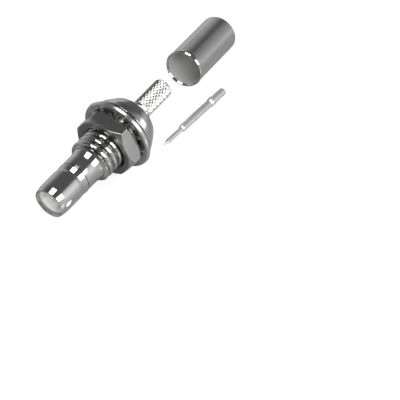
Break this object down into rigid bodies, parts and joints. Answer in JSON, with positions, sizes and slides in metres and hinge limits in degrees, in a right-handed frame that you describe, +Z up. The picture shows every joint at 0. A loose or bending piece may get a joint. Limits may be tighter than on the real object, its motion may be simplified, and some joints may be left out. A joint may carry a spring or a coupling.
{
  "type": "smb connector",
  "caption": "Bulkhead coaxial crimp jack with push-on barrel, panel thread, hex nut, toothed lock washer and domed flange, with its crimp ferrule and centre contact lying loose.",
  "frame": {"origin": "on the table, under the middle of the box round all the pieces", "axes": "+Y along the table from the mating end to the cable end, +Z up, +X to the right seen from the mating end; the connector's own axis rises towards the cable end by 12.3 degrees"},
  "size_m": [0.0114, 0.0362, 0.0081],
  "materials": {
    "nickel_body": "polished",
    "nickel_stem": "polished",
    "ptfe": "satin",
    "washer_metal": "polished",
    "nickel_nut": "polished",
    "ferrule_metal": "satin",
    "contact_metal": "satin"
  },
  "bodies": {
    "connector": {"front_body": "nickel_body", "rear_sleeve": "nickel_stem", "insulator": "ptfe", "crimp_ferrule": "ferrule_metal", "contact_pin": "contact_metal"},
    "washer": {"lock_washer": "washer_metal"},
    "nut": {"hex_nut": "nickel_nut"}
  },
  "joints": [
    {"name": "washer_slide", "type": "slide", "parent": "connector", "child": "washer", "axis": [0, -0.9771, -0.2126], "range_m": [0, 0.00238]},
    {"name": "nut_turn", "type": "hinge", "parent": "washer", "child": "nut", "pos_m": [0.00157, -0.00806, 0.00375], "axis": [0, -0.9771, -0.2126], "range_deg": [0, 1080]}
  ],
  "couplings": [
    {"joint": "nut_turn", "follows": "washer_slide", "rad_per_m": 7915.8}
  ]
}
